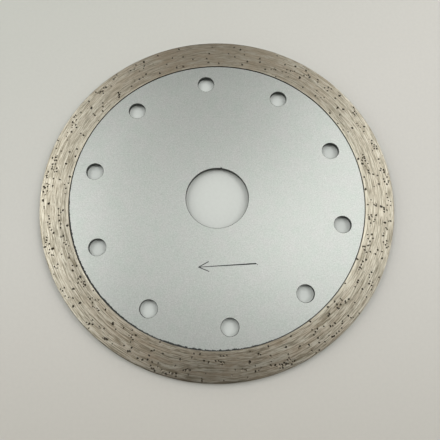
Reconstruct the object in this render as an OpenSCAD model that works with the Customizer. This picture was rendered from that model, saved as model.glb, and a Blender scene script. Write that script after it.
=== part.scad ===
// Continuous-rim diamond blade for an angle grinder, lying flat with its marked face up.
// +Z is the spin axis. The origin is the centre of the arbor bore, halfway through the core.

/* [Blade] */
// Diameter over the rim
blade_d = 125; // [122:0.5:128]
// Radial height of the diamond rim
rim_height = 10.3; // [9:0.1:11]
// Thickness of the diamond rim
rim_t = 2.2; // [2.1:0.05:2.6]
// Thickness of the steel core
core_t = 1.6; // [1.4:0.05:1.8]
// Small bevel round the rim's outer edges
rim_bevel = 0.15; // [0.05:0.01:0.25]

/* [Bore] */
// Diameter of the arbor bore
bore_d = 22.23; // [20:0.01:25.4]
// Bevel on both edges of the bore
bore_bevel = 0.15; // [0.05:0.01:0.25]
// Radius of the nick that the laser leaves where it finishes the bore
nick_r = 0.4; // [0.1:0.05:0.5]
// Direction of that nick from the centre
nick_angle = 83; // [0:1:359]

/* [Cooling holes] */
// Number of cooling holes
hole_count = 10; // [6:1:16]
// Diameter of a cooling hole
hole_d = 6; // [4:0.1:8]
// Diameter of the circle that they lie on
hole_pcd = 90; // [80:0.5:90]
// Direction of the first one
hole_start = -12.5; // [-18:0.5:18]
// Bevel on both edges of each hole
hole_bevel = 0.15; // [0.05:0.01:0.25]

/* [Rim joint] */
// Width of the groove left all round between the core's face and the rim
seam_w = 0.2; // [0.1:0.05:0.4]
// Depth of that groove below the core's face
seam_depth = 0.15; // [0.1:0.01:0.25]
// How far the core's toothed edge reaches into the rim
key_reach = 2.8; // [2:0.1:4]
// Number of notches round that edge, which the rim's metal fills
notch_count = 36; // [24:1:48]
// Width of a notch
notch_w = 3; // [2:0.1:4]
// Radial depth of a notch
notch_depth = 1.8; // [1:0.1:1.9]

/* [Diamond grit] */
// Mean width of a crystal
grit_size = 0.45; // [0.35:0.01:0.5]
// Rows of crystals across each face of the rim
face_rows = 4; // [1:1:5]
// Crystals in each of those rows
face_columns = 48; // [12:1:60]
// Crystals round the cutting edge in each of its two rows
edge_columns = 40; // [12:1:60]
// How far the crystals stand out of the cutting edge
edge_proud = 0.05; // [0.02:0.01:0.1]

/* [Direction arrow] */
// Length of the engraved arrow
arrow_length = 19.6; // [10:0.1:24]
// Width of the lines of its head
arrow_line = 0.3; // [0.2:0.01:0.5]
// Width of its shaft at the head
arrow_shaft_line = 0.22; // [0.2:0.01:0.5]
// Width of its shaft at the tail, where the engraving starts
arrow_tail_line = 0.48; // [0.2:0.01:0.6]
// Width of the small dot just past the tail
arrow_dot = 0.3; // [0.1:0.01:0.5]
// Depth of its lines
arrow_depth = 0.08; // [0.04:0.01:0.15]
// Length of the two strokes of its head
arrow_barb = 3.8; // [2:0.1:6]
// Angle between the shaft and each of those strokes
arrow_spread = 26; // [15:1:40]
// Tip of the arrow, from the centre of the bore
arrow_tip = [-6.3, -24.8];
// Direction in which it points
arrow_angle = 183.6; // [170:0.1:190]

/* [Hidden] */
$fn = 96;
over = 1;                       // how far a cutting tool runs past the metal
blade_r = blade_d / 2;
core_r = blade_r - rim_height;  // where the core's painted face ends
seam_r = core_r + seam_w;       // where the rim begins
tongue_r = seam_r + key_reach;  // outer radius of the core, inside the rim
tongue_t = core_t - 2 * seam_depth;
grit_depth = min(0.36, (rim_t - tongue_t) / 2 - 0.05);  // how deep a crystal goes into the rim
grit_spread = 0.25;             // how much crystal widths differ, as a share of the mean
grit_room = 0.4;                // nearest that a face crystal's centre comes to the edge of its cell
crystal_sides = [6, 4, 6, 8, 5];
edge_rows = 2;
edge_row_gap = 0.7;             // distance between the two rows on the cutting edge
dot_place = [0.55, -0.38];      // the dot, from the arrow's tail, along and across the shaft

// Disc with its faces at +-t/2
module disc(r, t) {
    cylinder(r = r, h = t, center = true);
}

// Round hole through the core with a bevel on both edges
module bevelled_hole(r, bevel) {
    disc(r, core_t + over);
    for (side = [0, 1])
        mirror([0, 0, side])
            translate([0, 0, core_t / 2 - bevel])
                cylinder(r1 = r, r2 = r + 2 * bevel, h = 2 * bevel);
}

// Notches round the edge of the tongue, each open to the outside
module notches() {
    for (i = [0 : notch_count - 1])
        rotate(i * 360 / notch_count)
            translate([tongue_r - notch_depth, -notch_w / 2, -core_t])
                cube([notch_depth + over, notch_w, 2 * core_t]);
}

// Thinner toothed edge of the core, which the rim is sintered round
module tongue() {
    difference() {
        disc(tongue_r, tongue_t);
        notches();
    }
}

// One straight line of the arrow, with round ends, starting at the origin along +X
module stroke(length, start_line, end_line) {
    translate([0, 0, core_t / 2 - arrow_depth]) {
        linear_extrude(over)
            polygon([
                [0, -start_line / 2],
                [length, -end_line / 2],
                [length, end_line / 2],
                [0, start_line / 2],
            ]);
        cylinder(d = start_line, h = over);
        translate([length, 0, 0])
            cylinder(d = end_line, h = over);
    }
}

// Engraved arrow that shows which way the blade turns
module arrow() {
    translate([arrow_tip.x, arrow_tip.y, 0])
        rotate(arrow_angle + 180) {
            stroke(arrow_length, arrow_shaft_line, arrow_tail_line);
            for (side = [-1, 1])
                rotate(side * arrow_spread)
                    stroke(arrow_barb, arrow_line, arrow_line);
            translate([arrow_length + dot_place.x, dot_place.y, core_t / 2 - arrow_depth])
                cylinder(d = arrow_dot, h = over);
        }
}

module steel_core() {
    color("silver")
        difference() {
            union() {
                disc(core_r, core_t);
                tongue();
            }
            bevelled_hole(bore_d / 2, bore_bevel);
            for (i = [0 : hole_count - 1])
                rotate(hole_start + i * 360 / hole_count)
                    translate([hole_pcd / 2, 0, 0])
                        bevelled_hole(hole_d / 2, hole_bevel);
            rotate(nick_angle)
                translate([bore_d / 2, 0, 0])
                    disc(nick_r, core_t + over);
            arrow();
        }
}

// Upright flat-topped crystal of a given width, its top at z = 0
module crystal(width, kind) {
    translate([0, 0, -grit_depth])
        cylinder(d = width, h = grit_depth, $fn = crystal_sides[kind]);
}

// Seeded crystals on one face of the rim, one at a chance place in each cell of a ring of cells
module face_grit(seed) {
    count = face_rows * face_columns;
    across = rands(0, 1, count, seed);
    along = rands(0, 1, count, seed + 1);
    width = rands(1 - grit_spread, 1 + grit_spread, count, seed + 2);
    turn = rands(0, 90, count, seed + 3);
    cell = (rim_height - seam_w - rim_bevel) / face_rows;
    for (row = [0 : face_rows - 1], column = [0 : face_columns - 1]) {
        i = row * face_columns + column;
        r = seam_r + row * cell + grit_room + across[i] * (cell - 2 * grit_room);
        margin = asin(grit_room / r);
        angle = column * 360 / face_columns + margin + along[i] * (360 / face_columns - 2 * margin);
        rotate(angle)
            translate([r, 0, rim_t / 2])
                rotate(turn[i])
                    crystal(grit_size * width[i], i % len(crystal_sides));
    }
}

module grit_front() {
    color("dimgray")
        face_grit(11);
}

module grit_back() {
    color("dimgray")
        mirror([0, 0, 1])
            face_grit(29);
}

// Seeded crystals round the cutting edge, standing a little way out of it
module grit_edge() {
    count = edge_rows * edge_columns;
    along = rands(0.2, 0.8, count, 47);
    width = rands(1 - grit_spread, 1 + grit_spread, count, 48);
    turn = rands(0, 90, count, 49);
    color("dimgray")
        for (row = [0 : edge_rows - 1], column = [0 : edge_columns - 1]) {
            i = row * edge_columns + column;
            rotate((column + along[i]) * 360 / edge_columns)
                translate([blade_r + edge_proud, 0, (row - 0.5) * edge_row_gap])
                    rotate([0, 90, 0])
                        rotate(turn[i])
                            crystal(grit_size * width[i], i % len(crystal_sides));
        }
}

// Sintered metal ring round the core's toothed edge, with a pocket for every crystal
module diamond_rim() {
    color("darkkhaki")
        difference() {
            rotate_extrude()
                polygon([
                    [seam_r, -rim_t / 2],
                    [blade_r - rim_bevel, -rim_t / 2],
                    [blade_r, -rim_t / 2 + rim_bevel],
                    [blade_r, rim_t / 2 - rim_bevel],
                    [blade_r - rim_bevel, rim_t / 2],
                    [seam_r, rim_t / 2],
                ]);
            tongue();
            grit_front();
            grit_back();
            grit_edge();
        }
}

steel_core();
diamond_rim();
grit_front();
grit_back();
grit_edge();
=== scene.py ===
import math

import bmesh
import bpy
import numpy as np
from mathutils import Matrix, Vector
from mathutils.geometry import delaunay_2d_cdt


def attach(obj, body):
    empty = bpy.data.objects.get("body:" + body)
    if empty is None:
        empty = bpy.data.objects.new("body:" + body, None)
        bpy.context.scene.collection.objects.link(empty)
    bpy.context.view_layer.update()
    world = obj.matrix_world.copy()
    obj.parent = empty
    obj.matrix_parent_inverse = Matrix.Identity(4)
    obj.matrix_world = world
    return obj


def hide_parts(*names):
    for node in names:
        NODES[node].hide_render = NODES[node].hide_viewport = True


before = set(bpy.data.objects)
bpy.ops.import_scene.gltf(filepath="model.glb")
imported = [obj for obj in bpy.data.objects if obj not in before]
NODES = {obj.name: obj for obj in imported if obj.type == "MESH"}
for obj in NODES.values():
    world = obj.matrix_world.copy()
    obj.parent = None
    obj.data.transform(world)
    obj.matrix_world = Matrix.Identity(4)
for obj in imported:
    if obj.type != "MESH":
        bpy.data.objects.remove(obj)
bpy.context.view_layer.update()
MM = 0.001  # shapes below are worked out in millimetres and stored in metres
TURN = 2.0 * math.pi


def node_points(name):
    """A CAD node's vertices in millimetres."""
    vertices = NODES[name].data.vertices
    points = np.empty(len(vertices) * 3)
    vertices.foreach_get("co", points)
    return points.reshape(-1, 3) / MM


def radii(points):
    """Distances from the axis."""
    return np.hypot(points[:, 0], points[:, 1])


# Sizes that the frame gives

NEAR = 0.01  # a point this close to the furthest one counts as being there
RIM = node_points("diamond_rim")
CORE = node_points("steel_core")
BLADE_R = radii(RIM).max()
SEAM_R = radii(RIM).min()
RIM_Z = RIM[:, 2].max()
CORE_Z = CORE[:, 2].max()
CORE_R = radii(CORE[CORE[:, 2] > CORE_Z - NEAR]).max()  # where the core's painted face ends
TONGUE_R = radii(CORE).max()                            # the core's toothed edge, inside the rim
TONGUE_Z = np.abs(CORE[radii(CORE) > TONGUE_R - NEAR][:, 2]).max()


# Meshes

def make_object(name, points, faces, smooth_below=None):
    """A mesh object from millimetre points. Edges flatter than smooth_below degrees shade smoothly."""
    mesh = bpy.data.meshes.new(name)
    mesh.from_pydata([tuple(p * MM) for p in np.asarray(points)], [], faces)
    mesh.validate()
    if smooth_below is not None:
        mesh.polygons.foreach_set("use_smooth", [True] * len(mesh.polygons))
        mesh.set_sharp_from_angle(angle=math.radians(smooth_below))
    made = bpy.data.objects.new(name, mesh)
    bpy.context.scene.collection.objects.link(made)
    return made


def smooth_step(t):
    """0 below 0, 1 above 1, and a smooth rise between them."""
    t = np.clip(t, 0.0, 1.0)
    return t * t * (3.0 - 2.0 * t)


def ring_noise(seed, around, across):
    """Seeded noise from -1 to 1 over the rim, with so many cells round it and across its height."""
    table = np.random.default_rng(seed).uniform(-1.0, 1.0, (around, across + 2))

    def value(angle, share):
        u = np.mod(angle / TURN, 1.0) * around
        v = np.clip(share, 0.0, 1.0) * across
        i = np.floor(u).astype(int) % around
        j = np.floor(v).astype(int)
        fu = smooth_step(u - np.floor(u))
        fv = smooth_step(v - j)
        following = (i + 1) % around
        near = table[i, j] * (1.0 - fv) + table[i, j + 1] * fv
        far = table[following, j] * (1.0 - fv) + table[following, j + 1] * fv
        return near * (1.0 - fu) + far * fu

    return value


def circle(radius, count, shift=0.0):
    """Points round a circle in the plane, turned by a share of the step between them."""
    angles = (np.arange(count) + shift) * TURN / count
    return np.stack([radius * np.cos(angles), radius * np.sin(angles)], axis=1)


def row(radius, angle, z):
    """Points round the axis at one height, whose radius may differ from point to point."""
    return np.column_stack([radius * np.cos(angle), radius * np.sin(angle), np.full(len(angle), z)])


# Diamond crystals

PROUD = 0.04                 # furthest that a crystal stands out of the rim's face
SUNK = 0.03                  # furthest that the top of one lies below it
CAD_SHARES = (0.7, 1.15)     # widths of the crystals that the CAD has, as shares of the CAD's
SMALL_WIDTHS = (0.24, 0.44)  # widths of the smaller ones between them
CRYSTAL_GAP = 0.58           # least distance between the centres of a small one and another
SEAM_CLEAR = 0.55            # nearest that a small one's centre comes to the seam
EDGE_CLEAR = 0.45            # and to the outer edge
LONGEST_CHAIN = 3
CHAIN_STEPS = (0.58, 1.6)    # distance from one crystal of a chain to the next
CHAIN_STRAY = 0.7            # how far a chain strays from the grinding direction, in radians
INNER_BAND = (0.29, 0.8)     # where the rim is richest: share of its height, and spread in mm
OUTER_BAND = (0.76, 0.9)
INNER_CHANCE = 0.38
EDGE_REACH = 0.75            # how far crystals lie from the middle of the cutting edge
EDGE_GAP = 0.7               # least distance between the centres of a new one there and another
EDGE_WIDTHS = (0.35, 0.55)
EDGE_PROUD = (0.02, 0.07)
STRETCHES = (0.8, 1.15)      # how much longer or shorter a crystal is each way than it is wide


def crystal_corners(name):
    """The corner points of each separate crystal in a CAD grit node, in millimetres."""
    mesh = NODES[name].data
    points = node_points(name)
    keys = {}
    home = [keys.setdefault(tuple(np.round(p, 4)), len(keys)) for p in points]
    parent = list(range(len(keys)))

    def root(i):
        while parent[i] != i:
            parent[i] = parent[parent[i]]
            i = parent[i]
        return i

    for a, b in mesh.edge_keys:
        parent[root(home[a])] = root(home[b])
    groups = {}
    for index, point in zip(home, points):
        groups.setdefault(root(index), []).append(point)
    return [np.array(group) for group in groups.values()]


def crystal_shape():
    """Corners and faces of a blocky crystal, a truncated octahedron about 1 across."""
    span = 4.2
    corners = []
    for axis in range(3):
        for small in (-1.0, 1.0):
            for large in (-2.0, 2.0):
                for pair in ((small, large), (large, small)):
                    corner = [0.0, 0.0, 0.0]
                    corner[(axis + 1) % 3], corner[(axis + 2) % 3] = pair
                    corners.append(corner)
    shape = bmesh.new()
    for corner in corners:
        shape.verts.new([c / span for c in corner])
    bmesh.ops.convex_hull(shape, input=shape.verts)
    bmesh.ops.dissolve_limit(shape, angle_limit=0.01, verts=shape.verts, edges=shape.edges)
    shape.verts.index_update()
    points = np.array([v.co[:] for v in shape.verts])
    faces = [tuple(v.index for v in face.verts) for face in shape.faces]
    shape.free()
    return points, faces


SHAPE_POINTS, SHAPE_FACES = crystal_shape()


def turn_matrix(rng):
    """A random rotation."""
    q = rng.normal(size=4)
    w, x, y, z = q / np.linalg.norm(q)
    return np.array([
        [1 - 2 * (y * y + z * z), 2 * (x * y - z * w), 2 * (x * z + y * w)],
        [2 * (x * y + z * w), 1 - 2 * (x * x + z * z), 2 * (y * z - x * w)],
        [2 * (x * z - y * w), 2 * (y * z + x * w), 1 - 2 * (x * x + y * y)],
    ])


def crystals(name, sites, rng):
    """One mesh of separate crystals.

    A site is a point on the metal's surface, the outward normal there, and the crystal's width and
    how far it stands proud.
    """
    points, faces = [], []
    for place, normal, width, proud in sites:
        shape = (SHAPE_POINTS * rng.uniform(*STRETCHES, 3)) @ turn_matrix(rng).T * width
        rise = proud - (shape @ normal).max()
        faces += [tuple(i + len(points) * len(shape) for i in face) for face in SHAPE_FACES]
        points.append(shape + place + normal * rise)
    return make_object(name, np.concatenate(points), faces)


def richness(angle):
    """Chance that a chain may start in a direction: highest at the sides and front, none at the back."""
    return 0.36 + 0.5 * math.cos(angle) ** 2 - 0.36 * math.sin(angle)


def face_sites(name, side, extra, seed):
    """Sites on one face of the rim: the CAD crystals, then smaller ones, single or in short chains."""
    rng = np.random.default_rng(seed)
    sites = []
    for corners in crystal_corners(name):
        centre = corners.mean(0)
        width = np.ptp(corners[:, :2], axis=0).max()
        sites.append((centre[0], centre[1], width * rng.uniform(*CAD_SHARES)))
    while extra > 0:
        share, spread = OUTER_BAND if rng.uniform() > INNER_CHANCE else INNER_BAND
        radius = rng.normal(SEAM_R + share * (BLADE_R - SEAM_R), spread)
        angle = rng.uniform(0.0, TURN)
        if rng.uniform() > richness(angle):
            continue
        x, y = radius * math.cos(angle), radius * math.sin(angle)
        for _ in range(rng.integers(1, LONGEST_CHAIN + 1)):
            inside = SEAM_R + SEAM_CLEAR < math.hypot(x, y) < BLADE_R - EDGE_CLEAR
            if inside and all(math.hypot(x - a, y - b) > CRYSTAL_GAP for a, b, _ in sites):
                sites.append((x, y, rng.uniform(*SMALL_WIDTHS)))
                extra -= 1
            lean = angle + math.pi / 2.0 + rng.normal(0.0, CHAIN_STRAY)
            step = rng.uniform(*CHAIN_STEPS)
            x += step * math.cos(lean)
            y += step * math.sin(lean)
    normal = np.array([0.0, 0.0, side])
    return [(np.array([x, y, side * RIM_Z]), normal, width, rng.uniform(-SUNK, PROUD))
            for x, y, width in sites]


def edge_sites(extra, seed):
    """Sites round the cutting edge: the CAD crystals, then as many more."""
    rng = np.random.default_rng(seed)
    places = []
    for corners in crystal_corners("grit_edge"):
        centre = corners.mean(0)
        places.append((math.atan2(centre[1], centre[0]), centre[2]))
    while extra > 0:
        angle = rng.uniform(-math.pi, math.pi)
        z = rng.uniform(-EDGE_REACH, EDGE_REACH)
        if all(math.hypot((angle - a) * BLADE_R, z - b) > EDGE_GAP for a, b in places):
            places.append((angle, z))
            extra -= 1
    sites = []
    for angle, z in places:
        normal = np.array([math.cos(angle), math.sin(angle), 0.0])
        place = normal * BLADE_R + np.array([0.0, 0.0, z])
        sites.append((place, normal, rng.uniform(*EDGE_WIDTHS), rng.uniform(*EDGE_PROUD)))
    return sites


# Sintered rim

EDGE_ROUND = 0.2              # rounding of the rim's outer edges
SEAM_BEVEL = 0.05             # worn edge beside the seam
FACE_R = BLADE_R - EDGE_ROUND  # where a flat face ends, outside
LIP_R = SEAM_R + SEAM_BEVEL    # and inside
GROOVE = 0.007                # height of the grinding marks
RIPPLE = 0.004                # height of the broad waves that grinding leaves
PIT_RINGS = (0.32, 0.53, 0.74, 0.95)  # rings of mesh points round a crystal, in widths
PIT_POINTS = 12
PIT_DEPTH = 0.07
RELIEF_AT_ENDS = 0.3          # how much of a face's relief is left on its boundary circles
RIM_COLUMNS = 900             # mesh columns round the outer edge
INNER_COLUMNS = 720           # and round the seam
BOUNDARY = RIM_COLUMNS + INNER_COLUMNS  # mesh points on a face's two boundary circles
BOUNDARY_CLEAR = 0.05         # nearest that the other points of the face come to those circles
FACE_ROWS = 35                # rings of mesh points across a face
FACE_COLUMNS = 264            # points in each of them
EDGE_LEVELS = 9               # heights down the straight of the cutting edge
EDGE_WAVE = 0.012             # roughness of the cutting edge
EDGE_PIT = 0.06               # depth of the hollow round a crystal there
NOTCHES = 36                  # notches in the core's hidden edge, which the rim's metal fills
NOTCH_HALF = math.radians(1.5)
NOTCH_DEPTH = 1.8
CHIP_ANGLES = (81.4, 47.0, 123.0, 201.0, 255.0, 312.0)
CHIP_SIZES = (0.34, 0.16, 0.18, 0.14, 0.16, 0.16)
CHIP_OUT = 0.03               # how far outside the corner a chip is centred
BACK_CHIP_TURN = 70.0         # how far round the chips of the back face are from the front's


def pit_outline(place, turn):
    """How much further than a circle a pit reaches at an angle from its centre; no two are alike."""
    two, three = place[0] * 7.0, place[1] * 11.0
    return 1.0 + 0.16 * np.sin(2.0 * turn + two) + 0.1 * np.sin(3.0 * turn + three)


def pit_points(place, width):
    """Mesh points in rings round a crystal, for its pit's wall and the grime and painted shade round it.
    """
    points = [place[None, :2]]
    for k, ring in enumerate(PIT_RINGS):
        turn = (np.arange(PIT_POINTS) + 0.5 * (k % 2)) * TURN / PIT_POINTS
        reach = width * ring * pit_outline(place, turn)
        points.append(place[:2] + np.stack([reach * np.cos(turn), reach * np.sin(turn)], axis=1))
    return points


def face_height(xy, sites, seed):
    """How far each point of a ground face stands above its plane, and its grime and painted shade round
    a pit.
    """
    angle = np.arctan2(xy[:, 1], xy[:, 0])
    share = (radii(xy) - SEAM_R) / (BLADE_R - SEAM_R)
    lean = share + 0.02 * np.sin(5.0 * angle + seed)
    coarse_marks = ring_noise(seed, 60, 26)(angle, lean)
    fine_marks = ring_noise(seed + 1, 110, 40)(angle, share)
    waves = ring_noise(seed + 2, 14, 3)(angle, share)
    height = GROOVE * (0.6 * coarse_marks + 0.5 * fine_marks) + RIPPLE * waves
    floor, _, top, clean = PIT_RINGS
    dirt_and_shade = np.zeros(len(xy))
    pit = np.zeros(len(xy))
    for place, _, width, _ in sites:
        offset = xy - place[:2]
        away = np.hypot(offset[:, 0], offset[:, 1]) / width
        away /= pit_outline(place, np.arctan2(offset[:, 1], offset[:, 0]))
        near = away < clean
        wall = smooth_step((top - away[near]) / (top - floor))
        # Dark round a pit: grime, and painted shade over the pit's slopes
        soot_and_shade = smooth_step((clean - away[near]) / (clean - top))
        pit[near] = np.maximum(pit[near], wall)
        dirt_and_shade[near] = np.maximum(dirt_and_shade[near], soot_and_shade)
    return height - PIT_DEPTH * pit, dirt_and_shade


def plan_points(sites):
    """Mesh points of one face: its two boundary circles, rings between them, and the crystals' pits."""
    parts = [circle(FACE_R, RIM_COLUMNS), circle(LIP_R, INNER_COLUMNS)]
    # A ring as fine as the boundary lies close beside each, so that the worn edges stay even
    parts.append(circle(FACE_R - 0.25, RIM_COLUMNS, 0.5))
    parts.append(circle(LIP_R + 0.15, INNER_COLUMNS, 0.5))
    for k, radius in enumerate(np.linspace(SEAM_R + 0.5, FACE_R - 0.5, FACE_ROWS)):
        parts.append(circle(radius, FACE_COLUMNS, 0.5 * (k % 2)))
    for place, _, width, _ in sites:
        parts += pit_points(place, width)
    points = np.concatenate(parts)
    inside = (radii(points) > LIP_R + BOUNDARY_CLEAR) & (radii(points) < FACE_R - BOUNDARY_CLEAR)
    inside[:BOUNDARY] = True
    return points[inside]


def rim_face(sites, seed):
    """One triangulated face, its boundary circles first, with the height, grime and painted shade at
    each point.
    """
    points = plan_points(sites)
    loops = [(i, (i + 1) % RIM_COLUMNS) for i in range(RIM_COLUMNS)]
    loops += [(RIM_COLUMNS + i, RIM_COLUMNS + (i + 1) % INNER_COLUMNS) for i in range(INNER_COLUMNS)]
    made, _, faces, source, _, _ = delaunay_2d_cdt([Vector(p) for p in points], loops, [], 0, 1e-4)
    made = np.array([p[:] for p in made])
    faces = np.array(faces)
    faces = faces[radii(made[faces].mean(1)) > SEAM_R + 0.9 * SEAM_BEVEL]  # none across the middle
    # The points are renumbered so that those of the boundary circles come first, in their order
    order = np.full(len(points), -1)
    for index, origins in enumerate(source):
        for origin in origins:
            order[origin] = index
    boundary = order[:BOUNDARY]
    rest = np.setdiff1d(np.arange(len(made)), boundary)
    sequence = np.concatenate([boundary, rest])
    place = np.empty(len(made), int)
    place[sequence] = np.arange(len(made))
    made = made[sequence]
    faces = place[faces]
    height, dirt_and_shade = face_height(made, sites, seed)
    height[:BOUNDARY] *= RELIEF_AT_ENDS
    return made, height, dirt_and_shade, faces


def outer_band(sites, seed):
    """Rows of points down the cutting edge, and the grime and painted shade at each of them."""
    corner = []
    for degrees in (22.5, 45.0, 67.5, 90.0):
        a = math.radians(degrees)
        corner.append((BLADE_R - EDGE_ROUND * (1 - math.sin(a)), RIM_Z - EDGE_ROUND * (1 - math.cos(a))))
    straight = np.linspace(corner[-1][1], -corner[-1][1], EDGE_LEVELS)[1:-1]
    profile = corner + [(BLADE_R, z) for z in straight] + [(r, -z) for r, z in corner[::-1]]
    angle = np.arange(RIM_COLUMNS) * TURN / RIM_COLUMNS
    rough = ring_noise(seed, 420, 8)
    long_wave = ring_noise(seed + 1, 60, 3)
    rows, dirt_and_shade = [], []
    for radius, z in profile:
        soot_and_shade = np.zeros(RIM_COLUMNS)
        share = np.full(RIM_COLUMNS, (z + RIM_Z) / (2 * RIM_Z))
        cut = EDGE_WAVE * rough(angle, share) + EDGE_WAVE * long_wave(angle, share)
        for place, normal, width, _ in sites:
            centre = math.atan2(normal[1], normal[0])
            apart = np.angle(np.exp(1j * (angle - centre))) * BLADE_R
            away = np.hypot(apart, z - place[2]) / width
            cut -= EDGE_PIT * smooth_step((1.0 - away) / 0.6)
            # Dark round an edge crystal: grime, and painted shade over its hollow
            soot_and_shade = np.maximum(soot_and_shade, smooth_step((1.0 - away) / 0.4))
        rows.append(row(radius + cut, angle, z))
        dirt_and_shade.append(soot_and_shade)
    return rows, np.concatenate(dirt_and_shade)


def inner_band():
    """Rows down the seam's wall and round the slot that holds the core's toothed edge."""
    angle = np.arange(INNER_COLUMNS) * TURN / INNER_COLUMNS
    offset = np.mod(angle + math.pi / NOTCHES, TURN / NOTCHES) - math.pi / NOTCHES
    floor = np.where(np.abs(offset) <= NOTCH_HALF, TONGUE_R - NOTCH_DEPTH, TONGUE_R)
    return [
        row(SEAM_R, angle, RIM_Z - SEAM_BEVEL),
        row(SEAM_R, angle, TONGUE_Z),
        row(floor, angle, TONGUE_Z),
        row(floor, angle, -TONGUE_Z),
        row(SEAM_R, angle, -TONGUE_Z),
        row(SEAM_R, angle, SEAM_BEVEL - RIM_Z),
    ]


def join_rows(first, rows, last, columns, start):
    """Quads that join a loop of point indices, rows of new points, and another loop."""
    loops = [first] + [start + k * columns + np.arange(columns) for k in range(len(rows))] + [last]
    following = np.roll(np.arange(columns), -1)
    faces = []
    for upper, lower in zip(loops, loops[1:]):
        faces += [(upper[i], lower[i], lower[j], upper[j]) for i, j in enumerate(following)]
    return faces


def chip(points):
    """Push the outer corners in where small pieces have broken away."""
    for side in (1.0, -1.0):
        for angle, size in zip(CHIP_ANGLES, CHIP_SIZES):
            turn = math.radians(angle if side > 0 else angle + BACK_CHIP_TURN)
            out = np.array([math.cos(turn), math.sin(turn), 0.0])
            centre = out * (BLADE_R + CHIP_OUT) + np.array([0.0, 0.0, side * (RIM_Z + CHIP_OUT)])
            inward = -(out + np.array([0.0, 0.0, side])) / math.sqrt(2.0)
            away = points - centre
            near = np.linalg.norm(away, axis=1) < size
            along = away[near] @ inward
            across = np.sum(away[near] ** 2, axis=1) - along ** 2
            points[near] += np.outer(np.sqrt(size ** 2 - across) - along, inward)


def build_rim(front_sites, back_sites, rim_edge_sites):
    """The whole sintered ring as one closed mesh."""
    front_xy, front_height, front_dirt_and_shade, front_faces = rim_face(front_sites, 3)
    back_xy, back_height, back_dirt_and_shade, back_faces = rim_face(back_sites, 17)
    front = np.column_stack([front_xy, RIM_Z + front_height])
    back = np.column_stack([back_xy, -RIM_Z - back_height])
    outer_rows, outer_dirt_and_shade = outer_band(rim_edge_sites, 41)
    inner_rows = inner_band()
    inner_dirt = np.ones(len(inner_rows) * INNER_COLUMNS)
    points = np.concatenate([front, back] + outer_rows + inner_rows)
    base = len(front)
    faces = [tuple(f) for f in front_faces]
    faces += [tuple(f[::-1] + base) for f in back_faces]
    start = base + len(back)
    outer_loop = np.arange(RIM_COLUMNS)
    faces += join_rows(outer_loop, outer_rows, outer_loop + base, RIM_COLUMNS, start)
    start += len(outer_rows) * RIM_COLUMNS
    inner_loop = RIM_COLUMNS + np.arange(INNER_COLUMNS)
    inner = join_rows(inner_loop, inner_rows, inner_loop + base, INNER_COLUMNS, start)
    faces += [face[::-1] for face in inner]
    chip(points)
    rim = make_object("sintered_rim", points, faces, smooth_below=50.0)
    dirt_and_shade = rim.data.attributes.new("dirt_and_shade", "FLOAT", "POINT")
    dirt_and_shade.data.foreach_set("value", np.concatenate([front_dirt_and_shade, back_dirt_and_shade, outer_dirt_and_shade, inner_dirt]))
    return rim


# Materials

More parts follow.
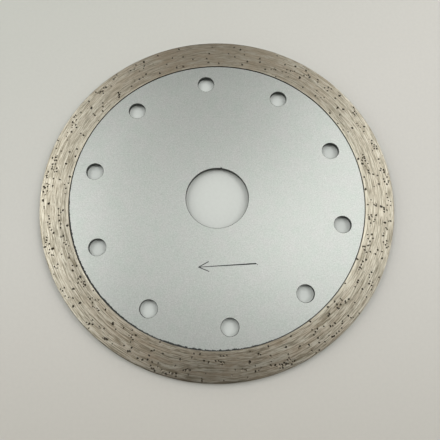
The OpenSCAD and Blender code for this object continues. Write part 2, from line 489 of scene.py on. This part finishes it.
class Graph:
    """A material's node tree, with short calls for the nodes that the materials share."""

    def __init__(self, name):
        self.material = bpy.data.materials.new(name)
        self.material.use_nodes = True
        self.tree = self.material.node_tree
        self.tree.nodes.clear()
        output = self.add("ShaderNodeOutputMaterial")
        self.shader = self.add("ShaderNodeBsdfPrincipled")
        self.link(self.shader.outputs["BSDF"], output.inputs["Surface"])
        self.place = self.add("ShaderNodeTexCoord").outputs["Object"]

    def add(self, kind, **settings):
        node = self.tree.nodes.new(kind)
        for name, value in settings.items():
            setattr(node, name, value)
        return node

    def link(self, source, target):
        self.tree.links.new(source, target)

    def feed(self, socket, value):
        """Link a socket to another one, or set its number or colour."""
        if isinstance(value, bpy.types.NodeSocket):
            self.link(value, socket)
        else:
            socket.default_value = value

    def set(self, name, value):
        self.feed(self.shader.inputs[name], value)

    def math(self, operation, *values):
        node = self.add("ShaderNodeMath", operation=operation)
        for socket, value in zip(node.inputs, values):
            self.feed(socket, value)
        return node.outputs[0]

    def vector(self, operation, *values):
        node = self.add("ShaderNodeVectorMath", operation=operation)
        for socket, value in zip(node.inputs, values):
            self.feed(socket, value)
        return node.outputs["Value" if operation in ("LENGTH", "DOT_PRODUCT") else "Vector"]

    def noise(self, place, scale, detail=2.0, roughness=0.5):
        node = self.add("ShaderNodeTexNoise")
        self.link(place, node.inputs["Vector"])
        node.inputs["Scale"].default_value = scale
        node.inputs["Detail"].default_value = detail
        node.inputs["Roughness"].default_value = roughness
        return node.outputs["Fac"]

    def spread(self, value, low, high, to_low=0.0, to_high=1.0):
        """Bring a range of values to another one, and clamp it there."""
        node = self.add("ShaderNodeMapRange")
        for name, number in (("Value", value), ("From Min", low), ("From Max", high),
                             ("To Min", to_low), ("To Max", to_high)):
            self.feed(node.inputs[name], number)
        return node.outputs["Result"]

    def mix(self, factor, first, second):
        """Blend two colours, each of them a socket or three numbers."""
        node = self.add("ShaderNodeMix", data_type="RGBA")
        for index, value in ((0, factor), (6, first), (7, second)):
            self.feed(node.inputs[index], value if not isinstance(value, tuple) else (*value, 1.0))
        return node.outputs[2]

    def split(self, vector):
        node = self.add("ShaderNodeSeparateXYZ")
        self.link(vector, node.inputs[0])
        return node.outputs

    def join(self, x, y, z):
        node = self.add("ShaderNodeCombineXYZ")
        for socket, value in zip(node.inputs, (x, y, z)):
            self.feed(socket, value)
        return node.outputs[0]

    def attribute(self, name):
        return self.add("ShaderNodeAttribute", attribute_name=name).outputs["Fac"]

    def flat_place(self):
        """The place on the blade's middle plane, seen along the axis."""
        return self.vector("MULTIPLY", self.place, (1.0, 1.0, 0.0))

    def radius(self):
        """Distance from the axis, in metres."""
        return self.vector("LENGTH", self.flat_place())

    def over_radius(self, start, end, to_start=0.0, to_end=1.0):
        """A value that changes between two radii, which are in millimetres."""
        return self.spread(self.radius(), start * MM, end * MM, to_start, to_end)

    def toward(self, direction):
        """How much a place lies in a direction from the centre, from -1 to 1."""
        return self.vector("DOT_PRODUCT", self.vector("NORMALIZE", self.place), direction)

    def rings(self, around, across):
        """Coordinates that stretch a texture along circles round the axis."""
        x, y, _ = self.split(self.vector("NORMALIZE", self.flat_place()))
        depth = self.math("ADD", self.radius(), self.split(self.place)["Z"])
        return self.join(self.math("MULTIPLY", x, around), self.math("MULTIPLY", y, around),
                         self.math("MULTIPLY", depth, across))

    def bump(self, height, distance):
        node = self.add("ShaderNodeBump")
        node.inputs["Distance"].default_value = distance
        self.link(height, node.inputs["Height"])
        self.link(node.outputs[0], self.shader.inputs["Normal"])


FRONT = (0.0, -1.0, 0.0)
BARE_SIDE = (-0.82, -0.57, 0.0)  # the side of the seam where the lacquer stops short
PAINTED_SHADE_SIDE = (-0.5, 0.86, 0.0)  # where it is darkened towards the seam: painted shade, a correction of tone, not wear
BARE_SIDE_WIDTH = 0.44 * MM      # how far short of the seam it stops there
ENGRAVED = 0.09 * MM             # depth down to which bare steel is as dark as an engraved line, a darkness partly painted shade


def lacquer():
    """Silver-grey lacquer with a fine metal flake; cut or engraved steel is bare and dark, partly
    painted shade.
    """
    green_grey = (0.443, 0.482, 0.437)
    plain_grey = (0.474, 0.486, 0.457)
    shaded_flake = (0.0, 0.0, 0.0)
    bright_flake = (0.78, 0.8, 0.77)
    painted_shade_lacquer = (0.1, 0.105, 0.1)
    engraved_steel_and_shade = (0.03, 0.031, 0.031)
    cut_steel_and_shade = (0.065, 0.069, 0.064)
    g = Graph("silver_lacquer")
    cloud = g.noise(g.place, 220.0, 4.0, 0.65)
    flake = g.noise(g.place, 2300.0, 3.0, 0.8)
    rough = g.noise(g.rings(40.0, 900.0), 1.0, 4.0, 0.75)

    paint = g.mix(g.spread(cloud, 0.35, 0.65), green_grey, plain_grey)
    # Painted shade: the lacquer darkens towards the seam on one side
    painted_shade_side = g.spread(g.toward(PAINTED_SHADE_SIDE), -0.1, 0.5)
    painted_shade = g.math("MULTIPLY", painted_shade_side, g.over_radius(44.0, 50.0, 0.0, 0.09))
    paint = g.mix(painted_shade, paint, painted_shade_lacquer)
    shaded = g.mix(0.16, paint, shaded_flake)
    bright = g.mix(0.3, paint, bright_flake)
    paint = g.mix(g.spread(flake, 0.3, 0.7), shaded, bright)

    depth = g.math("SUBTRACT", CORE_Z * MM, g.math("ABSOLUTE", g.split(g.place)["Z"]))
    cut = g.spread(depth, 0.01 * MM, 0.04 * MM)
    ragged = g.spread(rough, 0.35, 0.65, -0.22 * MM, 0.08 * MM)
    side_bare = g.spread(g.toward(BARE_SIDE), 0.7, 0.95, 0.0, BARE_SIDE_WIDTH)
    front_side = g.spread(g.toward(FRONT), 0.9, 0.985)
    front_bare = g.math("MULTIPLY", front_side, g.spread(rough, 0.3, 0.7, 0.1 * MM, 0.54 * MM))
    bare = g.math("ADD", g.math("ADD", ragged, side_bare), front_bare)
    past = g.math("ADD", g.math("SUBTRACT", g.radius(), CORE_R * MM), bare)
    bare_steel_and_shade = g.math("MAXIMUM", cut, g.spread(past, 0.0, 0.1 * MM))
    # Bare steel below the paint: its own dark cut edge, with painted shade in the hollows
    steel = g.mix(g.spread(depth, ENGRAVED, ENGRAVED + 0.05 * MM), engraved_steel_and_shade, cut_steel_and_shade)

    g.set("Base Color", g.mix(bare_steel_and_shade, paint, steel))
    g.set("Metallic", 0.55)
    flake_gloss = g.spread(flake, 0.3, 0.7, 0.31, 0.39)
    g.set("Roughness", g.math("ADD", flake_gloss, g.math("MULTIPLY", bare_steel_and_shade, 0.2)))
    g.bump(g.noise(g.place, 1500.0, 2.0), 0.004 * MM)
    return g.material


def sintered_metal():
    """Bronze-coloured bond, ground round and round: dark gouges, and grime and painted shade in pits and
    by the seam.
    """
    dark_streak = (0.168, 0.152, 0.108)
    pale_streak = (0.498, 0.47, 0.385)
    brown_stain_and_shade = (0.31, 0.243, 0.168)
    gouge_metal = (0.1, 0.088, 0.062)
    painted_highlight_metal = (0.66, 0.62, 0.5)
    painted_shade_grey = (0.12, 0.11, 0.09)
    pit_dirt_and_shade = (0.03, 0.024, 0.016)
    g = Graph("sintered_metal")
    broad = g.noise(g.rings(5.0, 800.0), 1.0, 1.0)
    long_streak = g.noise(g.rings(6.0, 2900.0), 1.0, 1.0)
    short_streak = g.noise(g.rings(17.0, 3600.0), 1.0, 1.0)
    scratch = g.noise(g.rings(16.0, 11000.0), 1.0, 2.0)
    tint = g.noise(g.rings(6.0, 600.0), 1.0, 2.0)
    gouge = g.noise(g.rings(44.0, 5200.0), 1.0, 0.0)
    north = g.split(g.vector("NORMALIZE", g.place))["Y"]
    front = g.spread(north, -0.55, -0.95)
    ends = g.spread(g.math("ABSOLUTE", north), 0.55, 0.95)

    tone = g.math("ADD", g.math("MULTIPLY", long_streak, 0.36), g.math("MULTIPLY", short_streak, 0.46))
    tone = g.math("ADD", tone, g.math("MULTIPLY", broad, 0.06))
    tone = g.math("ADD", tone, g.spread(scratch, 0.0, 1.0, -0.1, 0.24))
    # Painted light and shade, as corrections of tone: streaks stronger at the front, and browner metal
    # at front and back
    contrast = g.spread(front, 0.0, 1.0, 1.2, 2.6)
    tone = g.math("ADD", 0.5, g.math("MULTIPLY", contrast, g.math("SUBTRACT", tone, 0.5)))

    metal = g.mix(g.spread(tone, 0.35, 0.65), dark_streak, pale_streak)
    # A stain that varies at random, made heavier at front and back as painted shade
    stain_and_shade = g.math("MULTIPLY", g.spread(tint, 0.2, 0.8), g.spread(ends, 0.0, 1.0, 0.2, 0.75))
    metal = g.mix(stain_and_shade, metal, brown_stain_and_shade)
    metal = g.mix(g.spread(gouge, 0.66, 0.8, 0.0, 0.6), metal, gouge_metal)
    # Painted highlight: a pale band just outside the seam, weaker at front and back
    lip_highlight = g.over_radius(SEAM_R + 0.4, SEAM_R + 1.0, 0.4, 0.0)
    metal = g.mix(g.math("MULTIPLY", lip_highlight, g.spread(ends, 0.0, 1.0, 1.0, 0.3)), metal, painted_highlight_metal)
    # Painted shade: grey beside the seam at the front and along the outer edge, dulling highlights there
    front_seam_shade = g.math("MULTIPLY", g.over_radius(SEAM_R + 0.1, SEAM_R + 0.4, 0.6, 0.0), front)
    edge = g.over_radius(BLADE_R - 0.6, BLADE_R - 0.15, 0.0, 0.15)
    metal = g.mix(g.math("MAXIMUM", front_seam_shade, edge), metal, painted_shade_grey)

    # Darkest round the pits, with grime and painted shade, and on the seam's wall
    g.set("Base Color", g.mix(g.attribute("dirt_and_shade"), metal, pit_dirt_and_shade))
    g.set("Metallic", 1.0)
    g.set("Roughness", g.spread(long_streak, 0.3, 0.7, 0.33, 0.28))
    g.set("Anisotropic", 0.8)
    tangent = g.add("ShaderNodeTangent", direction_type="RADIAL", axis="Z")
    g.link(tangent.outputs[0], g.shader.inputs["Tangent"])
    g.bump(tone, 0.006 * MM)
    return g.material


def diamond():
    """Glossy synthetic diamond, coloured dark brown: partly painted shade of the hollow it sits in."""
    g = Graph("diamond_crystal")
    shade = g.noise(g.place, 1100.0, 1.0)
    g.set("Base Color", g.mix(g.spread(shade, 0.4, 0.65), (0.025, 0.02, 0.014), (0.1, 0.075, 0.045)))
    g.set("Roughness", 0.25)
    g.set("IOR", 1.6)
    return g.material


def studio_paper():
    """Plain pale backdrop, greener and with painted light beneath the blade, painted shade in front, its
    wall softly lit.
    """
    pale = (0.615, 0.6, 0.556)
    front_shade = (0.515, 0.497, 0.449)
    corner_shade = (0.548, 0.553, 0.505)
    under_bore = (0.622, 0.646, 0.608)
    painted_light_under_holes = (0.71, 0.745, 0.7)
    fleck = (0.3, 0.3, 0.28)
    g = Graph("studio_paper")
    # Painted shade towards the front and in the far left corner
    front = g.spread(g.split(g.place)["Y"], -0.09, -0.015, 1.0, 0.0)
    corner = g.spread(g.vector("DOT_PRODUCT", g.place, (-0.6, 0.8, 0.0)), 0.0, 0.11)
    open_floor = g.mix(corner, g.mix(front, pale, front_shade), corner_shade)
    # Painted light: brighter beneath the holes and in a ring just round the rim's edge
    under = g.mix(g.over_radius(20.0, 35.0), under_bore, painted_light_under_holes)
    shade = g.mix(g.over_radius(54.0, 65.5), under, open_floor)
    flecks = g.spread(g.noise(g.place, 900.0, 3.0), 0.3, 0.7, 0.0, 0.06)
    g.set("Base Color", g.mix(flecks, shade, fleck))
    g.set("Roughness", 0.6)
    g.set("Emission Color", (0.93, 0.93, 0.9, 1.0))
    g.set("Emission Strength", g.over_radius(1500.0, 3400.0, 0.0, 0.35))
    g.material.cycles.emission_sampling = "NONE"
    return g.material


def wear(piece, material):
    piece.data.materials.clear()
    piece.data.materials.append(material)


# The blade

FACE_EXTRA = 320  # small crystals added to each face
EDGE_EXTRA = 60   # and to the cutting edge

front_sites = face_sites("grit_front", 1.0, FACE_EXTRA, 5)
back_sites = face_sites("grit_back", -1.0, FACE_EXTRA, 6)
cutting_sites = edge_sites(EDGE_EXTRA, 7)

rim = build_rim(front_sites, back_sites, cutting_sites)
wear(rim, sintered_metal())
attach(rim, "root")
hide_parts("diamond_rim")

crystal_look = diamond()
GRIT = (("grit_front", front_sites, 21), ("grit_back", back_sites, 22), ("grit_edge", cutting_sites, 23))
for node, sites, seed in GRIT:
    group = crystals(f"diamond_{node}", sites, np.random.default_rng(seed))
    wear(group, crystal_look)
    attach(group, "root")
    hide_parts(node)

wear(NODES["steel_core"], lacquer())


# Table, camera and light

TABLE_Z = RIM_Z + PROUD  # the blade lies on the crystals of its back face
COVE_COLUMNS = 144


def studio_cove(flat, bend, height):
    """A round floor, flat out to a radius, that bends up into a wall of a height, in millimetres."""
    turns = np.linspace(0.0, math.pi / 2.0, 13)
    profile = [(r, -TABLE_Z) for r in (100.0, 300.0, 900.0)]
    profile += [(flat + bend * math.sin(t), bend * (1.0 - math.cos(t)) - TABLE_Z) for t in turns]
    profile.append((flat + bend, height))
    angle = np.arange(COVE_COLUMNS) * TURN / COVE_COLUMNS
    rings = [row(r, angle, z) for r, z in profile]
    points = np.concatenate([np.array([(0.0, 0.0, -TABLE_Z)])] + rings)
    loop = np.arange(COVE_COLUMNS)
    faces = [(0, 1 + i, 1 + (i + 1) % COVE_COLUMNS) for i in loop]
    for k in range(len(rings) - 1):
        inner = 1 + k * COVE_COLUMNS
        outer = inner + COVE_COLUMNS
        for i in loop:
            following = (i + 1) % COVE_COLUMNS
            faces.append((inner + i, outer + i, outer + following, inner + following))
    return make_object("studio_cove", points, faces, smooth_below=50.0)


floor = studio_cove(2600.0, 900.0, 2400.0)
wear(floor, studio_paper())


def add_camera():
    """A camera 165 mm from the blade, in front of it and tilted back 14.5 degrees from straight down."""
    data = bpy.data.cameras.new("camera")
    data.sensor_width = 36.0
    data.lens = 37.97
    data.clip_start = 0.005
    camera = bpy.data.objects.new("camera", data)
    camera.location = (0.00008, -0.04891, 0.1580)
    camera.rotation_euler = (math.radians(14.52), math.radians(-0.33), 0)
    bpy.context.scene.collection.objects.link(camera)
    bpy.context.scene.camera = camera


def softbox(name, x, y, strength, size=0.36):
    """A square light a metre above the table, facing the blade; its size is a share of its distance."""
    place = Vector((x, y, 1.0))
    data = bpy.data.lights.new(name, "AREA")
    data.size = size * place.length
    data.energy = strength * place.length_squared
    light = bpy.data.objects.new(name, data)
    light.location = place
    light.rotation_euler = (-place).to_track_quat("-Z", "Y").to_euler()
    bpy.context.scene.collection.objects.link(light)


def add_world():
    """Faint light from all round."""
    world = bpy.data.worlds.new("studio")
    world.use_nodes = True
    background = world.node_tree.nodes["Background"]
    background.inputs["Color"].default_value = (0.9, 0.9, 0.88, 1)
    background.inputs["Strength"].default_value = 0.04
    bpy.context.scene.world = world


add_camera()
softbox("strip_left", -0.6, 0.2, 1.74)
softbox("strip_middle", 0.0, 0.2, 0.53)
softbox("strip_right", 0.3, 0.2, 1.02)
softbox("side_right", 1.0, 0.0, 3.11, 0.5)
softbox("north_left", -0.6, 0.7, 0.83)
softbox("north_right", 0.6, 0.7, 1.23)
softbox("low_left", -2.0, 0.3, 3.55, 0.8)
softbox("far_right", 1.0, 1.2, 1.02, 0.6)
add_world()
bpy.context.scene.view_settings.view_transform = "Standard"
